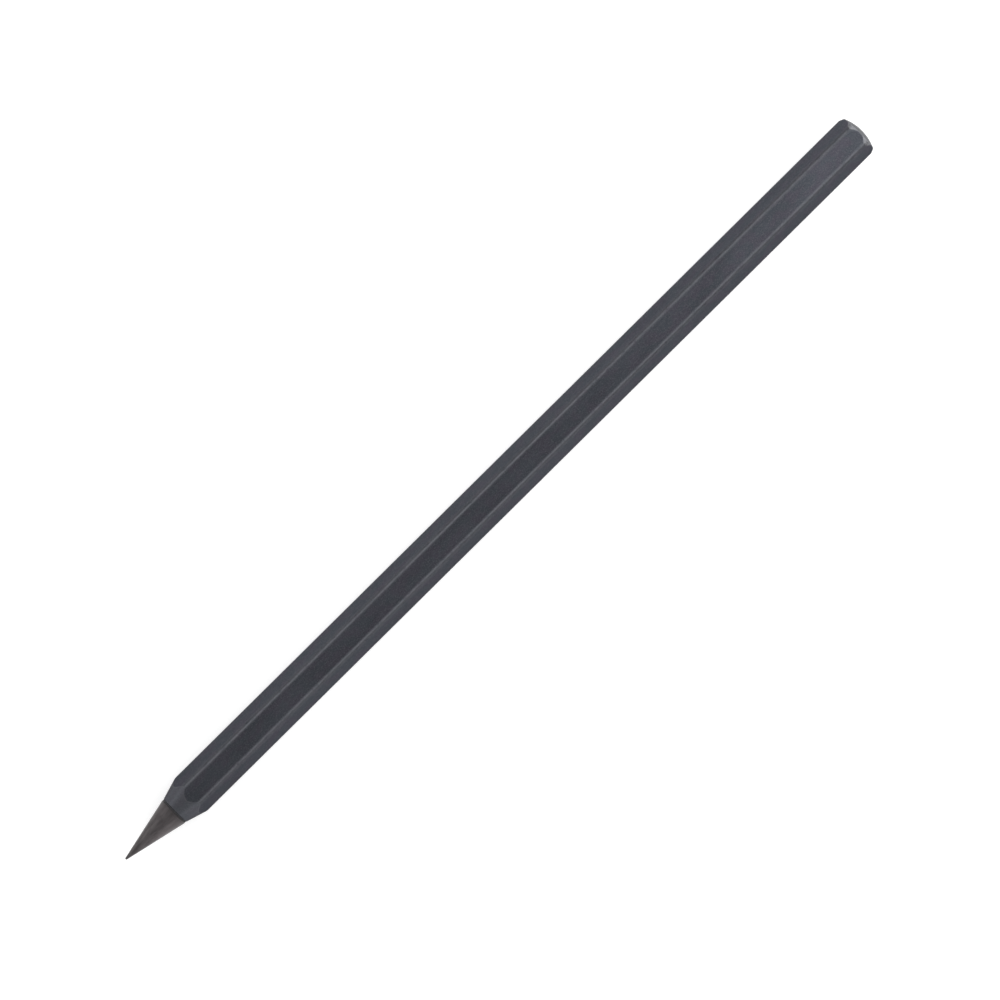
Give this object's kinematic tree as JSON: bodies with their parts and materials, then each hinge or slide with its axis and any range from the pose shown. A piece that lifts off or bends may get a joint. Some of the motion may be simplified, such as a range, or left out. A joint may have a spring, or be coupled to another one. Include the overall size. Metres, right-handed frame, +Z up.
{
  "type": "inkless metal pencil",
  "caption": "Hexagonal metal pencil with a pointed graphite-alloy cone that screws into its nose and writes without ink; rounded ridges and a plain domed tail.",
  "frame": {"origin": "under the middle of the pencil's length, on the flat of the barrel that it lies on", "axes": "+X along the pencil's axis from the writing point to the tail, +Z up from the flat it lies on"},
  "size_m": [0.174, 0.0078, 0.007],
  "materials": {
    "barrel_finish": "satin",
    "insert_brass": "satin",
    "washer_black": "matte",
    "stud_steel": "satin",
    "tip_alloy": "satin"
  },
  "bodies": {
    "barrel": {"barrel": "barrel_finish", "tail_plug": "barrel_finish", "thread_insert": "insert_brass"},
    "washer": {"seat_washer": "washer_black"},
    "tip": {"tip_stud": "stud_steel", "writing_tip": "tip_alloy"}
  },
  "joints": [
    {"name": "tip_travel", "type": "slide", "parent": "barrel", "child": "washer", "axis": [-1, 0, 0], "range_m": [0, 0.0045]},
    {"name": "tip_turn", "type": "hinge", "parent": "washer", "child": "tip", "pos_m": [-0.07535, 0, 0.0035], "axis": [-1, 0, 0], "range_deg": [0, 3600]}
  ],
  "couplings": [
    {"joint": "tip_turn", "follows": "tip_travel", "rad_per_m": 13963}
  ]
}
